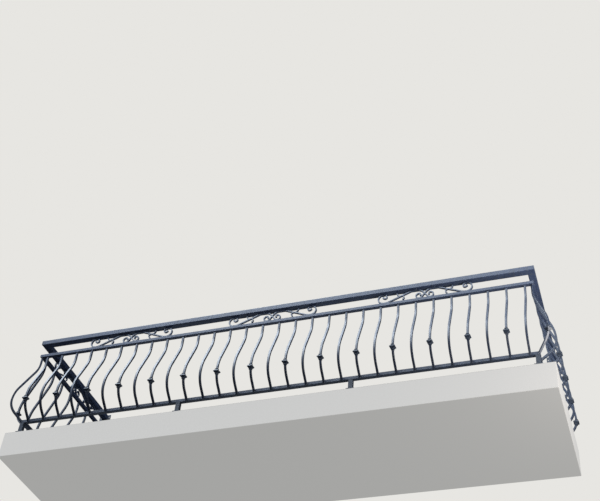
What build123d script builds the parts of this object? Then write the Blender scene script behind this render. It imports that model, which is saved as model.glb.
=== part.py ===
from build123d import *
import math
import os

os.makedirs("parts", exist_ok=True)

# Balcony railing with bellied square bars: a front and two returns, open towards the
# wall. Millimetres. X runs along the front, -Y faces the street, +Y the wall, Z is up.
# The drawing has Y = 0 on the centreline of the front rails and the foot plates on
# Z = 0; write() moves it so that the origin lies under the middle.

# Plan
bay_bars = 10
bays = 3
bar_pitch = 138.0
corner_step = 54.0  # last front bar to the corner bar
return_bars = 8
return_step = 67.0  # corner bar to the first return bar
return_pitch = 149.0
return_margin = 20.0  # last return bar to the wall

# Rails and heights
foot_gap = 90.0
rail = 30.0
rail_height = 28.0
rail_edge = 2.5  # rounding of the middle and bottom rails
bar_clear = 630.0
scroll_gap = 95.0
cap_height = 45.0
cap_width = 54.0
cap_edge = 5.0  # rounding of the top rail

# Bellied bars
bar = 16.0
belly = 129.0
corner_belly = 139.0
landing = 15.0  # where a bar meets the front of the bottom rail, below its top
corner_landing = 8.0
landing_angle = 38.0
lean_start = 0.175  # share of a bar's height down to its first bend
lean_end = 0.637  # share down to its second bend
top_run = 0.54  # share of the part above the first bend that stays straight
belly_run = 4.0  # straight length at the fullest point

# Knots, cast collars on the belly
knot_share = 0.72  # of the bar's length, from the middle rail
knot_width = 45.0
knot_height = 48.0
knot_neck = 24.0
knot_collar = 6.0

# Scroll ornaments in the gap under the top rail
scroll_offset = 9 * bar_pitch  # middle panel to side panel
scroll_half = 372.0
scroll_depth = 16.0
scroll_bar = 10.0
scroll_flat = 8.0  # length lying against a rail
stem_cut = 18.0  # run given up to each bend of the stem
cross_angle = 53.0
arch_bend = 75.0
curl_radii = (14.0, 26.0)  # inner turns of the outer curl
eye_radii = (24.0, 12.0)  # turns of the small curl beside the crossing
snub = 8.0  # radius of the round end of a curl
tendril_bar = 8.0
tendril_bends = (28.0, 18.0)
tendril_run = 10.0
tendril_snub = 5.5
tendril_shift = 12.0  # from the middle of the stem towards the crossing

# Feet and wall plates
foot_post = 34.0
foot_width = 60.0
foot_length = 100.0
foot_nose = 25.0  # plate in front of the rail's centreline
foot_plate = 8.0
foot_hole_spacing = 34.0
foot_hole_back = 50.0  # rail's centreline to the holes
hole_radius = 5.5
rear_foot_inset = 110.0  # rear foot to the wall
wall_plate = 6.0
wall_plate_length = 110.0
wall_plate_height = 56.0
wall_hole_spacing = 84.0

# Derived
front_bars = bays * bay_bars
last_bar_x = (front_bars - 1) / 2 * bar_pitch
side_x = last_bar_x + corner_step
depth = return_step + (return_bars - 1) * return_pitch + return_margin
bottom_z = foot_gap
middle_z = bottom_z + rail_height + bar_clear
scroll_z = middle_z + rail_height
cap_z = scroll_z + scroll_gap
bay_line_x = bay_bars / 2 * bar_pitch


def write(shape, name):
    """Write one sub-part, moved so that the origin lies under the middle."""
    solids = list(shape.solids())
    part = Compound(children=solids) if len(solids) > 1 else solids[0]
    export_step(part.moved(Location((0, -origin_y, 0))), "parts/" + name + ".step")


def block(x0, x1, y0, y1, z0, z1):
    """Box between two corners."""
    return Pos((x0 + x1) / 2, (y0 + y1) / 2, (z0 + z1) / 2) * Box(x1 - x0, y1 - y0, z1 - z0)


def rail_length(points, width, height, z, radius):
    """Rail along a centreline of two points, with ends cut to the given outline angles."""
    (x0, y0, cut0), (x1, y1, cut1) = points
    half = width / 2
    length = math.hypot(x1 - x0, y1 - y0)
    lean0 = half * math.tan(math.radians(cut0))
    lean1 = half * math.tan(math.radians(cut1))
    outline = Polyline(
        (-lean0, -half),
        (length + lean1, -half),
        (length - lean1, half),
        (lean0, half),
        close=True,
    )
    solid = extrude(make_face(outline), height)
    along = [edge for edge in solid.edges() if edge.length > length / 2]
    solid = fillet(along, radius)
    heading = math.degrees(math.atan2(y1 - y0, x1 - x0))
    return Pos(x0, y0, z) * Rot(0, 0, heading) * solid


def rails(width, height, z, radius, name):
    """Front rail and two returns on one level, mitred at the corners."""
    end = depth - wall_plate
    front = [(-side_x, 0, 45), (side_x, 0, 45)]
    left = [(-side_x, end, 0), (-side_x, 0, 45)]
    right = [(side_x, 0, 45), (side_x, end, 0)]
    write(rail_length(front, width, height, z, radius), name + "_front")
    write(rail_length(left, width, height, z, radius), name + "_left")
    write(rail_length(right, width, height, z, radius), name + "_right")


def row(piece, places):
    """The same piece at several places."""
    return Compound(children=[place * piece for place in places])


def knot():
    """Diamond collar centred on the origin."""
    half = knot_height / 2
    shoulder = half - knot_collar
    ends = Rectangle(knot_neck, knot_neck)
    middle = Rectangle(knot_width, knot_width)
    lower = loft([Pos(0, 0, -shoulder) * ends, middle])
    upper = loft([middle, Pos(0, 0, shoulder) * ends])
    return lower + upper + Box(knot_neck, knot_neck, knot_height)


def bar_and_knot(reach, seat_reach, drop, seat):
    """Bellied bar hanging from the origin, its belly towards -Y and its end cut to a seat,
    and the knot that fits it."""
    slope = math.tan(math.radians(landing_angle))
    start_z = -lean_start * drop
    full_z = -lean_end * drop
    turn_z = (reach - seat_reach) * slope - drop
    lean = math.atan2(reach, start_z - full_z)
    bend_cut = (full_z - turn_z - belly_run) / 2
    bends = (
        -start_z * (1 - top_run) / math.tan(lean / 2),
        bend_cut / math.tan(lean / 2),
        bend_cut / math.tan(math.radians(90 - landing_angle) / 2),
    )
    points = [
        (0, 0),
        (0, start_z),
        (-reach, full_z),
        (-reach, turn_z),
        (0, -drop - seat_reach * slope),
    ]
    path = Plane.YZ * FilletPolyline(*points, radius=bends)
    start, middle = [
        Plane(path @ share, x_dir=(1, 0, 0), z_dir=path % share) for share in (0, knot_share)
    ]
    stem = sweep(start * Rectangle(bar, bar), path) - seat
    return stem, middle * knot() - stem


def trail(start, heading, steps):
    """Plane curve of straight runs (length, 0) and arcs (radius, turn); returns edges and end."""
    x, y = start
    edges = []
    for size, turn in steps:
        angle = math.radians(heading)
        if turn == 0:
            x1, y1 = x + size * math.cos(angle), y + size * math.sin(angle)
            edges.append(Line((x, y), (x1, y1)))
        else:
            side = math.copysign(1, turn)
            centre = (x - side * size * math.sin(angle), y + side * size * math.cos(angle))
            edges.append(CenterArc(centre, size, heading - side * 90, turn))
            heading += turn
            angle = math.radians(heading)
            x1 = centre[0] + side * size * math.sin(angle)
            y1 = centre[1] - side * size * math.cos(angle)
        x, y = x1, y1
    return edges, (x, y)


def strip(edges, width):
    """Flat bar standing on edge along a curve in the XZ plane."""
    path = Plane.XZ * Wire(edges)
    section = Plane(path @ 0, x_dir=(0, 1, 0), z_dir=path % 0) * Rectangle(scroll_depth, width)
    return sweep(section, path)


def button(centre, radius):
    """Round end of a curl."""
    return Plane.XZ * (Pos(centre[0], centre[1], 0) * Cylinder(radius, scroll_depth))


def scroll():
    """Scroll ornament: two crossing S-shaped bars with a tendril each, standing on the origin."""
    low = scroll_bar / 2
    high = scroll_gap - scroll_bar / 2
    rise = high - low
    half_turn = math.tan(math.radians(cross_angle / 2))
    arch_cut = arch_bend * half_turn
    eye_cut = eye_radii[0] * half_turn
    cross_length = rise / math.sin(math.radians(cross_angle)) - arch_cut - eye_cut
    stem_top = rise / 2 / math.tan(math.radians(cross_angle)) + arch_cut + scroll_flat + stem_cut
    curl_x = scroll_half - low - rise / 2
    stem_run = curl_x - scroll_flat - stem_cut - stem_top
    stem_angle = math.degrees(math.atan2(rise, stem_run))
    stem_bend = stem_cut / math.tan(math.radians(stem_angle / 2))
    stem_length = math.hypot(rise, stem_run) - 2 * stem_cut

    # Outer curl, traced from its inner end to where it lies on the middle rail
    curl = [(curl_radii[0], 160), (curl_radii[1], 90), (rise / 2, 180)]
    _, reach = trail((0, 0), -430, curl)
    curl_start = (-curl_x - reach[0], low - reach[1])
    steps = curl + [
        (scroll_flat, 0),
        (stem_bend, stem_angle),
        (stem_length, 0),
        (stem_bend, -stem_angle),
        (scroll_flat, 0),
        (arch_bend, -cross_angle),
        (cross_length, 0),
        (eye_radii[0], cross_angle + 180),
        (eye_radii[1], 110),
    ]
    edges, curl_end = trail(curl_start, -430, steps)
    main = strip(edges, scroll_bar) + button(curl_start, snub) + button(curl_end, snub)

    # Tendril, an S across the middle of the stem
    middle_x = tendril_shift - stem_top - stem_run / 2
    middle_y = scroll_gap / 2 + tendril_shift * rise / stem_run
    hooks = [(tendril_bends[0], 100), (tendril_run, 0), (tendril_bends[1], -150)]
    _, reach = trail((0, 0), -100, hooks[:2])
    hook_start = (middle_x + tendril_run / 2 - reach[0], middle_y - reach[1])
    edges, hook_end = trail(hook_start, -100, hooks)
    tendril = strip(edges, tendril_bar) + button(hook_start, tendril_snub) + button(hook_end, tendril_snub)

    half = main + tendril
    return half + mirror(half, about=Plane.YZ)


def foot():
    """Foot standing on the origin: base plate with two holes behind a short post."""
    half = foot_width / 2
    plate = block(-half, half, -foot_nose, foot_length - foot_nose, 0, foot_plate)
    post = block(-foot_post / 2, foot_post / 2, -rail / 2, rail / 2, foot_plate, foot_gap)
    drill = Pos(0, foot_hole_back, foot_plate / 2) * Cylinder(hole_radius, 2 * foot_plate)
    return plate + post - [Pos(side * foot_hole_spacing / 2, 0, 0) * drill for side in (-1, 1)]


def wall_plates(side):
    """Three plates on the wall, one behind the end of each rail."""
    half_x = wall_plate_length / 2
    half_z = wall_plate_height / 2
    plate = block(-half_x, half_x, -wall_plate, 0, -half_z, half_z)
    drill = Rot(90, 0, 0) * Cylinder(hole_radius, 4 * wall_plate)
    plate -= [Pos(k * wall_hole_spacing / 2, 0, 0) * drill for k in (-1, 1)]
    heights = (bottom_z + rail_height / 2, middle_z + rail_height / 2, cap_z + cap_height - half_z)
    return row(plate, [Pos(side * side_x, depth, z) for z in heights])


# A straight bar ends on the rail's front face, a corner bar on its outer corner
bar_drop = bar_clear + landing
corner_drop = bar_clear + corner_landing
straight_seat = block(-bar_clear, bar_clear, -rail / 2, bar_clear, -2 * bar_clear, -bar_clear / 2)
corner_seat = (
    Pos(0, (bar_clear - rail) / math.sqrt(2), -bar_clear)
    * Rot(0, 0, 45)
    * Box(bar_clear, bar_clear, bar_clear)
)
straight_bar, straight_knot = bar_and_knot(belly, rail / 2, bar_drop, straight_seat)
corner_bar, corner_knot = bar_and_knot(corner_belly, rail / math.sqrt(2), corner_drop, corner_seat)

# The origin lies halfway between the wall and the foremost bar or knot
front_y = min(piece.bounding_box().min.Y for piece in (straight_bar, straight_knot))
origin_y = (depth + front_y) / 2

# Rails on three levels
rails(rail, rail_height, bottom_z, rail_edge, "bottom_rail")
rails(rail, rail_height, middle_z, rail_edge, "middle_rail")
rails(cap_width, cap_height, cap_z, cap_edge, "top_rail")

# Front bars; every other one carries a knot, starting with the first
for bay in range(bays):
    first_x = bay * bay_bars * bar_pitch - last_bar_x
    places = [Pos(first_x + i * bar_pitch, 0, middle_z) for i in range(bay_bars)]
    label = "bay_" + str(bay + 1)
    write(row(straight_bar, places), "front_bars_" + label)
    write(row(straight_knot, places[::2]), "front_knots_" + label)

# Return bars, counted from the corner; the first is knotted on the left return and
# plain on the right one
for side, label in ((-1, "left"), (1, "right")):
    turn = Rot(0, 0, side * 90)
    steps = [return_step + i * return_pitch for i in range(return_bars)]
    places = [Pos(side * side_x, y, middle_z) * turn for y in steps]
    first_knot = 0 if side < 0 else 1
    write(row(straight_bar, places), "return_bars_" + label)
    write(row(straight_knot, places[first_knot::2]), "return_knots_" + label)

# Corner bars stand on the diagonal; only the right one carries a knot
for side, label in ((-1, "left"), (1, "right")):
    corner = Pos(side * side_x, 0, middle_z) * Rot(0, 0, side * 45)
    write(corner * corner_bar, "corner_bar_" + label)
    if side > 0:
        write(corner * corner_knot, "corner_knot_" + label)

# Scroll ornaments: three on the front and one on each return
ornament = scroll()
for panel, label in ((-1, "left"), (0, "middle"), (1, "right")):
    write(Pos(panel * scroll_offset, 0, scroll_z) * ornament, "front_scroll_" + label)
for side, label in ((-1, "left"), (1, "right")):
    middle = Pos(side * side_x, depth / 2, scroll_z)
    write(middle * Rot(0, 0, 90) * ornament, "return_scroll_" + label)

# Feet on the bay lines, under the front corners and near the wall
for side, label in ((-1, "left"), (1, "right")):
    rear = Pos(side * side_x, depth - rear_foot_inset, 0)
    write(Pos(side * bay_line_x, 0, 0) * foot(), "foot_middle_" + label)
    write(Pos(side * side_x, 0, 0) * foot(), "foot_corner_" + label)
    write(rear * Rot(0, 0, side * 90) * foot(), "foot_rear_" + label)

# Wall plates
for side, label in ((-1, "left"), (1, "right")):
    write(wall_plates(side), "wall_plates_" + label)
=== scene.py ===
import math
import random
from collections import namedtuple

import bpy
from mathutils import Matrix, Vector


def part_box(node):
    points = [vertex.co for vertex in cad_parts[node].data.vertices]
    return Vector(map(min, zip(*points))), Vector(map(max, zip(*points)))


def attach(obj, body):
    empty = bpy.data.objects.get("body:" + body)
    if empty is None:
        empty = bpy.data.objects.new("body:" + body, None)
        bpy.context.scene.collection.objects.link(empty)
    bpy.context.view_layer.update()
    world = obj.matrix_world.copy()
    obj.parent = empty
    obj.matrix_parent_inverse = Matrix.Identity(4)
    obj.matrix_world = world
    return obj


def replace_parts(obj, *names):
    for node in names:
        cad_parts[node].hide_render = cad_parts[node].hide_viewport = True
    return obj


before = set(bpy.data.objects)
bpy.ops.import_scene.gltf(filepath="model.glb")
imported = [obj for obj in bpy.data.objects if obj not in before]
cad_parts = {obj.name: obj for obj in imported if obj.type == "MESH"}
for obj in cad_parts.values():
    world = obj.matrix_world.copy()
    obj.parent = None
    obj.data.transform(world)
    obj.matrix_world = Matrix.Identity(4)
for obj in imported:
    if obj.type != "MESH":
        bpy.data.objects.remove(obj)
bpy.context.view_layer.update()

# Lengths are in metres and angles in degrees
SIDES = ((-1, "left"), (1, "right"))
BAYS = ("1", "2", "3")


# Sizes and places

Rail = namedtuple("Rail", "low top half edge")


def rail_size(node, edge):
    """Height of a front rail's underside and top, half its width and the rounding of its edges."""
    low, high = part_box(node)
    return Rail(low.z, high.z, (high.y - low.y) / 2, edge)


def centre(node):
    low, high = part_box(node)
    return (low + high) / 2


def spread(node, axis, count):
    """Centres of equally spaced bars along one axis of their node's box."""
    low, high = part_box(node)
    first = low[axis] + BAR / 2
    pitch = (high[axis] - low[axis] - BAR) / (count - 1)
    return [first + i * pitch for i in range(count)]


def turned(x, y, z, degrees, lean=0.0):
    """Place of a piece that leans about X, is then turned about Z and stands at x, y, z."""
    place = Matrix.Translation((x, y, z)) @ Matrix.Rotation(math.radians(degrees), 4, "Z")
    return place @ Matrix.Rotation(math.radians(lean), 4, "X")


BOTTOM = rail_size("bottom_rail_front", 0.0025)
MIDDLE = rail_size("middle_rail_front", 0.0025)
CAP = rail_size("top_rail_front", 0.005)
FRONT = centre("bottom_rail_front").y
SIDE = centre("bottom_rail_right").x
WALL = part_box("wall_plates_left")[1].y
WALL_PLATE_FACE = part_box("wall_plates_left")[0].y

BAR = 0.016
BAY_BARS = 10
RETURN_BARS = 8
POST = 0.034
FOOT_PLATE = 0.008
SCROLL = 0.016  # depth of a scroll's strip

# Outline of a bar's seat on the bottom rail: x from the bar's centreline, y from the rail's,
# z from the rail's top
STRAIGHT_SEAT = [
    (-BAR / 2, -BOTTOM.half, -0.0252),
    (BAR / 2, -BOTTOM.half, -0.0252),
    (BAR / 2, -BOTTOM.half, -0.0048),
    (-BAR / 2, -BOTTOM.half, -0.0048),
]
CORNER_EDGE = math.sqrt(2) * BOTTOM.half
CORNER_SEAT = [
    (-BAR / 2, BAR / 2 - CORNER_EDGE, -0.0040),
    (0.0, -CORNER_EDGE, -0.0015),
    (BAR / 2, BAR / 2 - CORNER_EDGE, -0.0040),
    (BAR / 2, BAR / 2 - CORNER_EDGE, -0.0244),
    (0.0, -CORNER_EDGE, -0.0182),
    (-BAR / 2, BAR / 2 - CORNER_EDGE, -0.0244),
]

# Where a scroll touches a rail, from its middle outwards: outer curls, arches and small curls
TOUCHES = ((0.3165, 0.3245, MIDDLE.top), (0.0694, 0.0774, CAP.low), (0.0400, 0.0480, MIDDLE.top))
TOUCH_MARGIN = 0.004

# A knot leans with its bar
LEAN = 7.6
CORNER_LEAN = 11.0

# Radii of the weld beads
BAR_BEAD = 0.0026
FOOT_BEAD = 0.0036
RAIL_BEAD = 0.0030
SCROLL_BEAD = 0.0022
SEAM_BEAD = 0.0009

# Distances from a weld's end to an edge
FOOT_MARGIN = 0.002
PLATE_MARGIN = 0.003

# Colours
FADED = (0.085, 0.096, 0.118)
# Colour that the paint darkens to in blotches towards the floor
DARK_NEAR_FLOOR = (0.019, 0.025, 0.037)
PRIMER = (0.060, 0.036, 0.024)
DUST = (0.30, 0.29, 0.28)
BACKGROUND = (0.80, 0.79, 0.76)
DAYLIGHT = (0.83, 0.92, 1.0)
WALL_LIGHT = (1.0, 0.97, 0.94)
SKY_TINT = (0.78, 0.94, 1.20)


# Materials

# Sockets of a Mix node that mixes colours
MIX_A = 6
MIX_B = 7
MIX_RESULT = 2


class Nodes:
    """Adds shader nodes to a material or the world."""

    def __init__(self, owner):
        owner.use_nodes = True
        self.tree = owner.node_tree

    def add(self, kind, **settings):
        node = self.tree.nodes.new("ShaderNode" + kind)
        for name, value in settings.items():
            setattr(node, name, value)
        return node

    def put(self, value, socket):
        """Link an output to a socket, or set the socket to a number, a vector or a colour."""
        if isinstance(value, bpy.types.NodeSocket):
            self.tree.links.new(value, socket)
        elif socket.type == "RGBA":
            socket.default_value = (*value, 1)
        else:
            socket.default_value = value

    def remap(self, value, low, high, to_low=0.0, to_high=1.0, curve="LINEAR"):
        node = self.add("MapRange", interpolation_type=curve)
        self.put(value, node.inputs["Value"])
        self.put(low, node.inputs["From Min"])
        self.put(high, node.inputs["From Max"])
        self.put(to_low, node.inputs["To Min"])
        self.put(to_high, node.inputs["To Max"])
        return node.outputs["Result"]

    def mix(self, factor, a, b):
        node = self.add("Mix", data_type="RGBA")
        self.put(factor, node.inputs["Factor"])
        self.put(a, node.inputs[MIX_A])
        self.put(b, node.inputs[MIX_B])
        return node.outputs[MIX_RESULT]

    def maths(self, operation, a, b):
        node = self.add("Math", operation=operation, use_clamp=True)
        self.put(a, node.inputs[0])
        self.put(b, node.inputs[1])
        return node.outputs[0]

    def noise(self, place, scale, detail, stretch=(1, 1, 1)):
        """Noise with marks of about 1 / scale metres, longer along an axis where stretch is small."""
        mapping = self.add("Mapping")
        texture = self.add("TexNoise")
        self.put(place, mapping.inputs["Vector"])
        self.put(stretch, mapping.inputs["Scale"])
        self.put(mapping.outputs["Vector"], texture.inputs["Vector"])
        self.put(scale, texture.inputs["Scale"])
        self.put(detail, texture.inputs["Detail"])
        return texture.outputs["Fac"]

    def bump(self, height, strength, distance, below=None, invert=False):
        """Relief, on top of the relief below it."""
        node = self.add("Bump", invert=invert)
        self.put(height, node.inputs["Height"])
        self.put(strength, node.inputs["Strength"])
        self.put(distance, node.inputs["Distance"])
        if below is not None:
            self.put(below, node.inputs["Normal"])
        return node.outputs["Normal"]

    def upright(self, vector):
        """Z of a vector."""
        node = self.add("SeparateXYZ")
        self.put(vector, node.inputs["Vector"])
        return node.outputs["Z"]


def tint(colour, share):
    return tuple(share * channel for channel in colour)


def paint(name, colour, dust, rough, grain, relief, gloss):
    """Old gloss paint over steel: uneven colour, settled dust, dull patches, fine relief."""
    mat = bpy.data.materials.new(name)
    nodes = Nodes(mat)
    shader = mat.node_tree.nodes["Principled BSDF"]
    shader.inputs["Metallic"].default_value = 0.0
    shader.inputs["IOR"].default_value = 1.5
    shader.inputs["Specular IOR Level"].default_value = gloss
    shader.inputs["Coat Weight"].default_value = 1.2 * gloss
    shader.inputs["Coat Roughness"].default_value = 0.22
    place = nodes.add("TexCoord").outputs["Object"]

    # Uneven coats: broad patches, mottling and pale runs left by rain
    patches = nodes.remap(nodes.noise(place, 5.0, 3.0), 0.35, 0.65)
    coloured = nodes.mix(patches, tint(colour, 0.78), colour)
    mottling = nodes.remap(nodes.noise(place, 65.0, 4.0), 0.45, 0.70, 0.0, 0.7)
    coloured = nodes.mix(mottling, coloured, tint(colour, 1.30))
    runs = nodes.remap(nodes.noise(place, 48.0, 3.0, (1, 1, 0.07)), 0.52, 0.72, 0.0, 0.55)
    coloured = nodes.mix(runs, coloured, FADED)

    # Darker towards the floor, in blotches
    low_down = nodes.remap(nodes.upright(place), 0.08, 0.45, 0.75, 0.0)
    blotches = nodes.remap(nodes.noise(place, 30.0, 5.0), 0.3, 0.6, 0.6, 1.0)
    near_floor_darkening = nodes.maths("MULTIPLY", low_down, blotches)
    coloured = nodes.mix(near_floor_darkening, coloured, DARK_NEAR_FLOOR)

    # Pinhead chips here and there, down to the brown primer
    specks = nodes.remap(nodes.noise(place, 260.0, 2.0), 0.70, 0.73)
    worn = nodes.remap(nodes.noise(place, 7.0, 2.0), 0.50, 0.62)
    chips = nodes.maths("MULTIPLY", specks, worn)
    coloured = nodes.mix(chips, coloured, PRIMER)

    # Dust lies on what faces up
    facing_up = nodes.remap(nodes.upright(nodes.add("NewGeometry").outputs["Normal"]), 0.15, 0.95)
    film = nodes.remap(nodes.noise(place, 35.0, 5.0), 0.3, 0.7, 0.4 * dust, dust)
    settled = nodes.maths("MULTIPLY", facing_up, film)
    nodes.put(nodes.mix(settled, coloured, DUST), shader.inputs["Base Color"])

    # Runs, dust, the darkening near the floor and chips are duller than clean paint
    dull = nodes.remap(nodes.noise(place, 18.0, 5.0), 0.3, 0.7, rough - 0.08, rough + 0.10)
    for cover, share in ((runs, 0.30), (settled, 0.50), (near_floor_darkening, 0.22), (chips, 0.30)):
        dull = nodes.maths("ADD", dull, nodes.maths("MULTIPLY", cover, share))
    nodes.put(dull, shader.inputs["Roughness"])

    # Orange peel, brush marks and the hollows of the chips
    peel = nodes.bump(nodes.noise(place, grain, 3.0), relief, 0.00015)
    brushed = nodes.bump(nodes.noise(place, 0.12 * grain, 2.0), 0.6 * relief, 0.0005, peel)
    chipped = nodes.bump(chips, 0.6, 0.0003, brushed, invert=True)
    nodes.put(chipped, shader.inputs["Normal"])
    return mat


# Colour, dust, roughness, scale of the grain, relief and gloss of each paint
PAINT_SETTINGS = {
    "rail_paint": ((0.050, 0.070, 0.132), 0.30, 0.36, 380.0, 0.25, 0.50),
    "bar_paint": ((0.033, 0.048, 0.090), 0.25, 0.34, 300.0, 0.40, 0.62),
    "knot_paint": ((0.031, 0.045, 0.072), 0.25, 0.42, 520.0, 0.60, 0.45),
    # The scrolls' colour is lighter than the rails' as painted light: it makes up for the shade that
    # the top rail's overhang casts on them
    "scroll_paint": ((0.062, 0.084, 0.142), 0.22, 0.34, 340.0, 0.40, 0.80),
    "plate_paint": ((0.033, 0.044, 0.066), 0.35, 0.46, 260.0, 0.45, 0.50),
}
PAINTS = {name: paint(name, *settings) for name, settings in PAINT_SETTINGS.items()}
ROUNDED = ("bar_paint", "scroll_paint", "plate_paint")


def slot_of(name):
    for word in ("scroll", "knot", "rail", "bar"):
        if word in name:
            return word + "_paint"
    return "plate_paint"


# Rounded edges

MERGE = 0.00002
ROUNDING = 0.0012


def smooth_group():
    """Geometry nodes that shade every face smooth, so that bends run on from straight stretches."""
    group = bpy.data.node_groups.new("shade_smooth", "GeometryNodeTree")
    group.interface.new_socket("Geometry", in_out="INPUT", socket_type="NodeSocketGeometry")
    group.interface.new_socket("Geometry", in_out="OUTPUT", socket_type="NodeSocketGeometry")
    start = group.nodes.new("NodeGroupInput")
    shade = group.nodes.new("GeometryNodeSetShadeSmooth")
    end = group.nodes.new("NodeGroupOutput")
    group.links.new(start.outputs[0], shade.inputs["Geometry"])
    group.links.new(shade.outputs[0], end.inputs[0])
    return group


SMOOTH = smooth_group()


def weld_points(obj, name):
    obj.modifiers.new(name, "WELD").merge_threshold = MERGE


def round_edges(obj):
    """Rolled and folded edges aren't knife sharp."""
    weld_points(obj, "weld")
    flat = obj.modifiers.new("flat", "DECIMATE")
    flat.decimate_type = "DISSOLVE"
    flat.angle_limit = math.radians(0.1)
    obj.modifiers.new("smooth", "NODES").node_group = SMOOTH
    bevel = obj.modifiers.new("edge", "BEVEL")
    bevel.width = ROUNDING
    bevel.segments = 2
    bevel.limit_method = "ANGLE"
    bevel.angle_limit = math.radians(35)
    weld_points(obj, "close")
    weighted = obj.modifiers.new("weighted", "WEIGHTED_NORMAL")
    weighted.mode = "FACE_AREA"
    weighted.weight = 50


for name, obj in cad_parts.items():
    slot = slot_of(name)
    obj.data.materials.clear()
    obj.data.materials.append(PAINTS[slot])
    if slot in ROUNDED:
        round_edges(obj)


# New pieces

def add_object(name, data):
    obj = bpy.data.objects.new(name, data)
    bpy.context.scene.collection.objects.link(obj)
    return obj


class Pieces:
    """Collects vertices and faces for one object."""

    def __init__(self):
        self.verts = []
        self.faces = []

    def add(self, verts, faces):
        start = len(self.verts)
        self.verts.extend(verts)
        self.faces.extend(tuple(start + i for i in face) for face in faces)

    def finish(self, name, slot):
        mesh = bpy.data.meshes.new(name)
        mesh.from_pydata([tuple(v) for v in self.verts], [], self.faces)
        mesh.polygons.foreach_set("use_smooth", [True] * len(mesh.polygons))
        mesh.set_sharp_from_angle(angle=math.radians(50))
        mesh.materials.append(PAINTS[slot])
        mesh.update()
        obj = add_object(name, mesh)
        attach(obj, "root")
        return obj


# Knots

# Lower half of a knot: height from its middle, half its width there, radius of the corners
# and hollow of the sides
KNOT_LEVELS = [
    (-0.0240, 0.0104, 0.0008, 0.0),
    (-0.0236, 0.0116, 0.0012, 0.0),
    (-0.0228, 0.0120, 0.0014, 0.0),
    (-0.0192, 0.0120, 0.0014, 0.0),
    (-0.0186, 0.0117, 0.0014, 0.0),
    (-0.0180, 0.0106, 0.0012, 0.0),
    (-0.0166, 0.0108, 0.0012, 0.0),
    (-0.0148, 0.0119, 0.0014, 0.0001),
    (-0.0124, 0.0142, 0.0016, 0.0003),
    (-0.0094, 0.0171, 0.0018, 0.0006),
    (-0.0062, 0.0196, 0.0020, 0.0008),
    (-0.0036, 0.0213, 0.0020, 0.0009),
    (-0.0022, 0.0221, 0.0020, 0.0009),
    (-0.0012, 0.0225, 0.0020, 0.0009),
]
SIDE_POINTS = 4
CORNER_STEPS = 3


def rounded_square(half, corner, hollow):
    """Outline of a square with rounded corners, its sides pulled in a little at the middle."""
    flat = half - corner
    points = []
    for k in range(4):
        turn = Matrix.Rotation(k * math.pi / 2, 3, "Z")
        for j in range(SIDE_POINTS):
            t = -1 + 2 * (j + 1) / (SIDE_POINTS + 1)
            points.append(turn @ Vector((t * flat, -half + hollow * (1 - t * t), 0)))
        for j in range(CORNER_STEPS + 1):
            angle = math.pi / 2 * j / CORNER_STEPS
            offset = Vector((math.sin(angle), -math.cos(angle), 0))
            points.append(turn @ (Vector((flat, -flat, 0)) + corner * offset))
    return points


def knot_mesh():
    """Cast collar: a square ring at each end and a four-sided swelling between them."""
    upper = [(-z, half, corner, hollow) for z, half, corner, hollow in reversed(KNOT_LEVELS)]
    levels = KNOT_LEVELS + upper
    verts, faces = [], []
    for z, half, corner, hollow in levels:
        verts.extend(p + Vector((0, 0, z)) for p in rounded_square(half, corner, hollow))
    ring = len(verts) // len(levels)
    for i in range(len(levels) - 1):
        for j in range(ring):
            a, b = i * ring + j, i * ring + (j + 1) % ring
            faces.append((a, b, b + ring, a + ring))
    for end, flip in ((0, True), (len(levels) - 1, False)):
        middle = len(verts)
        verts.append(Vector((0, 0, levels[end][0])))
        for j in range(ring):
            a, b = end * ring + j, end * ring + (j + 1) % ring
            faces.append((b, a, middle) if flip else (a, b, middle))
    return verts, faces


KNOT = knot_mesh()


def knots(node, places):
    """Cast knots in place of the plain ones of a CAD node."""
    piece = Pieces()
    for place in places:
        piece.add([place @ v for v in KNOT[0]], KNOT[1])
    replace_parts(piece.finish("cast_" + node, "knot_paint"), node)


# Every other bar has a knot: the first of each bay, the first of the left return and the
# second of the right one
for bay in BAYS:
    node = "front_knots_bay_" + bay
    middle = centre(node)
    xs = spread("front_bars_bay_" + bay, 0, BAY_BARS)[::2]
    knots(node, [turned(x, middle.y, middle.z, 0, LEAN) for x in xs])
for sign, label in SIDES:
    node = "return_knots_" + label
    middle = centre(node)
    first = 0 if sign < 0 else 1
    ys = spread("return_bars_" + label, 1, RETURN_BARS)[first::2]
    knots(node, [turned(middle.x, y, middle.z, sign * 90, LEAN) for y in ys])
middle = centre("corner_knot_right")
knots("corner_knot_right", [turned(middle.x, middle.y, middle.z, 45, CORNER_LEAN)])


# Welds

rng = random.Random(7)

# Sides of a bead's outline, and shares of its radius: the distance between two stations, how
# uneven and rippled the bead is, and the radius at its ends
BEAD_SIDES = 8
BEAD_STEP = 0.7
UNEVEN = 0.16
RIPPLE = 0.05
TAPER = 0.35


def direction_across(line):
    """Normal of the plane that a line of points turns in, or for a straight line the upright
    axis, or X where the line itself is upright. A tube that keeps to it doesn't twist."""
    normal = Vector()
    for a, b, c in zip(line, line[1:], line[2:]):
        normal += (b - a).cross(c - b)
    if normal.length > 0:
        return normal
    heading = (line[1] - line[0]).normalized()
    return Vector((0, 0, 1)) if abs(heading.z) < 0.5 else Vector((1, 0, 0))


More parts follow.
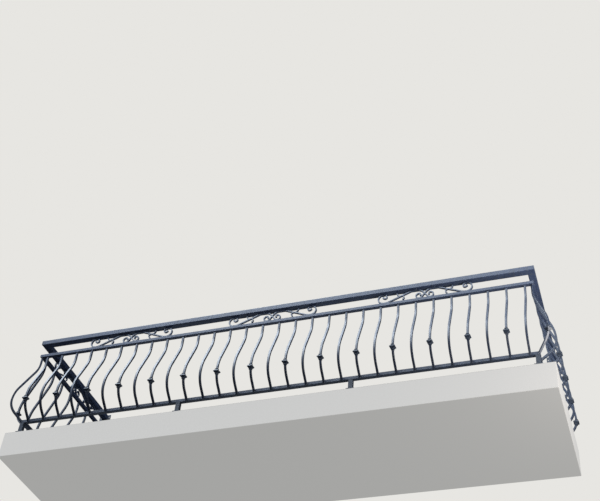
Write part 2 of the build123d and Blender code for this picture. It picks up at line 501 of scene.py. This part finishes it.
def bead(piece, points, radius, closed=False):
    """Weld bead along a line of points: a rippled tube that is half sunk in the steel."""
    line = [Vector(p) for p in points]
    if closed:
        line.append(line[0])
    side = direction_across(line)
    stations = []
    for a, b in zip(line, line[1:]):
        count = max(2, round((b - a).length / (BEAD_STEP * radius)))
        stations.extend(a.lerp(b, k / count) for k in range(count))
    if not closed:
        stations.append(line[-1])
    total = len(stations)
    rough = [rng.uniform(-1, 1) for _ in range(total)]
    verts = []
    for k, here in enumerate(stations):
        before = stations[k - 1] if closed or k else here
        after = stations[(k + 1) % total] if closed or k < total - 1 else here
        heading = (after - before).normalized()
        across = side.cross(heading).normalized()
        other = heading.cross(across)
        nearby = (rough[k - 1] + 2 * rough[k] + rough[(k + 1) % total]) / 4
        swell = radius * (1 + UNEVEN * nearby + RIPPLE * (-1) ** k)
        if not closed and k in (0, total - 1):
            swell *= TAPER
        for j in range(BEAD_SIDES):
            turn = 2 * math.pi * j / BEAD_SIDES
            verts.append(here + swell * (math.cos(turn) * across + math.sin(turn) * other))
    faces = []
    for k in range(total if closed else total - 1):
        near, far = k * BEAD_SIDES, (k + 1) % total * BEAD_SIDES
        for j in range(BEAD_SIDES):
            beside = (j + 1) % BEAD_SIDES
            faces.append((near + j, near + beside, far + beside, far + j))
    if not closed:
        faces.append(tuple(reversed(range(BEAD_SIDES))))
        faces.append(tuple(range((total - 1) * BEAD_SIDES, total * BEAD_SIDES)))
    piece.add(verts, faces)


def ring(piece, place, half_x, half_y, z, radius):
    """Bead round an upright square bar or post."""
    corners = ((-half_x, -half_y), (half_x, -half_y), (half_x, half_y), (-half_x, half_y))
    bead(piece, [place @ Vector((x, y, z)) for x, y in corners], radius, closed=True)


def bar_welds(name, places, seat):
    """Welds round each bar's top under the middle rail and round its end on the bottom rail."""
    piece = Pieces()
    for place in places:
        ring(piece, place, BAR / 2, BAR / 2, MIDDLE.low, BAR_BEAD)
        outline = [place @ Vector((x, y, BOTTOM.top + z)) for x, y, z in seat]
        bead(piece, outline, BAR_BEAD, closed=True)
    piece.finish(name, "bar_paint")


for bay in BAYS:
    xs = spread("front_bars_bay_" + bay, 0, BAY_BARS)
    bar_welds("welds_front_bay_" + bay, [turned(x, FRONT, 0, 0) for x in xs], STRAIGHT_SEAT)
for sign, label in SIDES:
    ys = spread("return_bars_" + label, 1, RETURN_BARS)
    places = [turned(sign * SIDE, y, 0, sign * 90) for y in ys]
    bar_welds("welds_return_" + label, places, STRAIGHT_SEAT)
for sign, label in SIDES:
    place = turned(sign * SIDE, FRONT, 0, sign * 45)
    bar_welds("welds_corner_bar_" + label, [place], CORNER_SEAT)


def foot_welds(label, x, y, degrees):
    """Weld round a post's lower end, and one on each side of it under the bottom rail."""
    piece = Pieces()
    place = turned(x, y, 0, degrees)
    ring(piece, place, POST / 2, BOTTOM.half, FOOT_PLATE, FOOT_BEAD)
    reach = BOTTOM.half - FOOT_MARGIN
    for sign in (-1, 1):
        line = [place @ Vector((sign * POST / 2, k * reach, BOTTOM.low)) for k in (-1, 1)]
        bead(piece, line, RAIL_BEAD)
    piece.finish("welds_foot_" + label, "plate_paint")


for label in ("middle_left", "middle_right", "corner_left", "corner_right"):
    foot_welds(label, centre("foot_" + label).x, FRONT, 0)
for sign, label in SIDES:
    foot_welds("rear_" + label, sign * SIDE, centre("foot_rear_" + label).y, sign * 90)

# Rail ends on the wall plates. The top rail is level with its plate's upper edge, so its weld
# stops short of that and isn't closed.
for sign, label in SIDES:
    piece = Pieces()
    for rail, top in ((BOTTOM, BOTTOM.top), (MIDDLE, MIDDLE.top), (CAP, CAP.top - PLATE_MARGIN)):
        corners = ((-rail.half, top), (-rail.half, rail.low), (rail.half, rail.low), (rail.half, top))
        line = [Vector((sign * SIDE + x, WALL_PLATE_FACE, z)) for x, z in corners]
        bead(piece, line, RAIL_BEAD, closed=rail is not CAP)
    piece.finish("welds_wall_" + label, "plate_paint")

# Mitred corners, welded and ground nearly flush
for sign, label in SIDES:
    piece = Pieces()
    for rail in (BOTTOM, MIDDLE, CAP):
        reach = rail.half - rail.edge
        for z in (rail.low, rail.top):
            line = [Vector((sign * (SIDE + k * reach), FRONT - k * reach, z)) for k in (-1, 1)]
            bead(piece, line, SEAM_BEAD)
        for k in (-1, 1):
            x, y = sign * (SIDE + k * rail.half), FRONT - k * rail.half
            line = [Vector((x, y, rail.low + rail.edge)), Vector((x, y, rail.top - rail.edge))]
            bead(piece, line, SEAM_BEAD)
    piece.finish("mitre_seams_" + label, "rail_paint")

# Short welds on both faces of a scroll where it touches the rails
for row, label, degrees in (
    ("front", "left", 0),
    ("front", "middle", 0),
    ("front", "right", 0),
    ("return", "left", 90),
    ("return", "right", 90),
):
    piece = Pieces()
    middle = centre(row + "_scroll_" + label)
    place = turned(middle.x, middle.y, 0, degrees)
    for near, far, z in TOUCHES:
        ends = (near - TOUCH_MARGIN, far + TOUCH_MARGIN)
        for sign in (-1, 1):
            for face in (-SCROLL / 2, SCROLL / 2):
                bead(piece, [place @ Vector((sign * x, face, z)) for x in ends], SCROLL_BEAD)
    piece.finish("welds_scroll_" + row + "_" + label, "scroll_paint")


# Camera, solved from the photo

def add_camera(place, right, down, ahead):
    camera = bpy.data.cameras.new("camera")
    camera.lens = 63.968
    camera.sensor_width = 36.0
    camera.shift_x = -0.03396
    camera.shift_y = 0.01905
    camera.clip_end = 200.0
    obj = add_object("camera", camera)
    axes = Matrix((right, -down, -ahead)).transposed()
    obj.matrix_world = Matrix.Translation(place) @ axes.to_4x4()
    bpy.context.scene.camera = obj


add_camera(
    place=Vector((2.69978, -6.5361, -4.52134)),
    right=Vector((0.95086276, 0.30232627, 0.06677452)),
    down=Vector((-0.15644443, 0.65526823, -0.73901873)),
    ahead=Vector((-0.26718, 0.69225889, 0.67036742)),
)


# Floor

# Thickness of the slab, and how far it lies beyond the rails' centrelines at the sides and in
# front, which puts its front edge where the photo has the balcony's
SLAB = 0.22
SLAB_SIDE = 0.12
SLAB_FRONT = 0.030


def floor_material():
    """Plain pale floor. The camera sees it paler than the object does, and its edge and
    underside partly by a glow of their own."""
    mat = bpy.data.materials.new("floor")
    nodes = Nodes(mat)
    shader = mat.node_tree.nodes["Principled BSDF"]
    shader.inputs["Roughness"].default_value = 0.9
    seen = nodes.add("LightPath").outputs["Is Camera Ray"]
    facing_up = nodes.upright(nodes.add("NewGeometry").outputs["True Normal"])
    shown = nodes.mix(nodes.remap(facing_up, 0.2, 0.9), (0.12, 0.11, 0.10), (0.69, 0.60, 0.51))
    nodes.put(nodes.mix(seen, (0.24, 0.24, 0.23), shown), shader.inputs["Base Color"])
    glow = nodes.add("ValToRGB")
    levels = glow.color_ramp.elements
    levels[0].color = (0.0, 0.0, 0.0, 1)
    levels[1].color = (0.37, 0.37, 0.36, 1)
    levels.new(0.5).color = (0.52, 0.52, 0.51, 1)
    nodes.put(nodes.remap(facing_up, 0.5, -0.5), glow.inputs["Fac"])
    nodes.put(glow.outputs["Color"], shader.inputs["Emission Color"])
    nodes.put(seen, shader.inputs["Emission Strength"])
    return mat


def add_floor(low, high):
    """Slab between two corners, its edges slightly rounded."""
    verts = [(x, y, z) for x in (low[0], high[0]) for y in (low[1], high[1]) for z in (low[2], high[2])]
    faces = [(0, 1, 3, 2), (4, 6, 7, 5), (0, 4, 5, 1), (2, 3, 7, 6), (0, 2, 6, 4), (1, 5, 7, 3)]
    mesh = bpy.data.meshes.new("floor")
    mesh.from_pydata(verts, [], faces)
    mesh.materials.append(floor_material())
    obj = add_object("floor", mesh)
    bevel = obj.modifiers.new("edge", "BEVEL")
    bevel.width = 0.004
    bevel.segments = 3


add_floor((-SIDE - SLAB_SIDE, FRONT - SLAB_FRONT, -SLAB), (SIDE + SLAB_SIDE, WALL, 0.0))


# Light

def softbox(name, place, target, size, watts, colour):
    light = bpy.data.lights.new(name, "AREA")
    light.shape = "RECTANGLE"
    light.size, light.size_y = size
    light.energy = watts
    light.color = colour
    obj = add_object(name, light)
    obj.location = place
    obj.rotation_euler = (Vector(target) - Vector(place)).to_track_quat("-Z", "Y").to_euler()
    obj.visible_camera = False


def add_sky():
    """Brighter sky over the street and a darker building behind and to the right. The camera
    sees a plain pale background instead."""
    world = bpy.data.worlds.new("sky")
    nodes = Nodes(world)
    direction = nodes.add("TexCoord").outputs["Generated"]

    def towards(target, low, high, to_low, to_high):
        """A level that changes as the direction turns towards the target."""
        node = nodes.add("VectorMath", operation="DOT_PRODUCT")
        nodes.put(direction, node.inputs[0])
        nodes.put(target, node.inputs[1])
        return nodes.remap(node.outputs["Value"], low, high, to_low, to_high, "SMOOTHSTEP")

    level = nodes.remap(nodes.upright(direction), -0.15, 0.25, 0.025, 0.24, "SMOOTHSTEP")
    level = nodes.maths("MULTIPLY", level, towards((0.62, 0.58, 0.52), 0.75, 0.95, 1.0, 0.1))
    level = nodes.maths("ADD", level, towards((-0.27, -0.50, 0.82), 0.45, 0.95, 0.0, 0.60))
    sky = nodes.add("VectorMath", operation="SCALE")
    nodes.put(SKY_TINT, sky.inputs[0])
    nodes.put(level, sky.inputs["Scale"])
    seen = nodes.add("LightPath").outputs["Is Camera Ray"]
    background = world.node_tree.nodes["Background"]
    nodes.put(nodes.mix(seen, sky.outputs[0], BACKGROUND), background.inputs["Color"])
    background.inputs["Strength"].default_value = 1.0
    bpy.context.scene.world = world


softbox("key", (-3.6, -8.4, 12.0), (0, 0, 0.4), (12.0, 8.0), 700.0, DAYLIGHT)
softbox("overhead", (-4.1, -2.8, 10.0), (0, -0.4, 0.4), (9.0, 7.0), 600.0, DAYLIGHT)
# Light from the pale wall beside the right return
softbox("side", (3.3, -1.1, -0.4), (2.0, -0.3, 0.4), (1.6, 1.6), 62.0, WALL_LIGHT)
add_sky()
bpy.context.scene.view_settings.view_transform = "Standard"
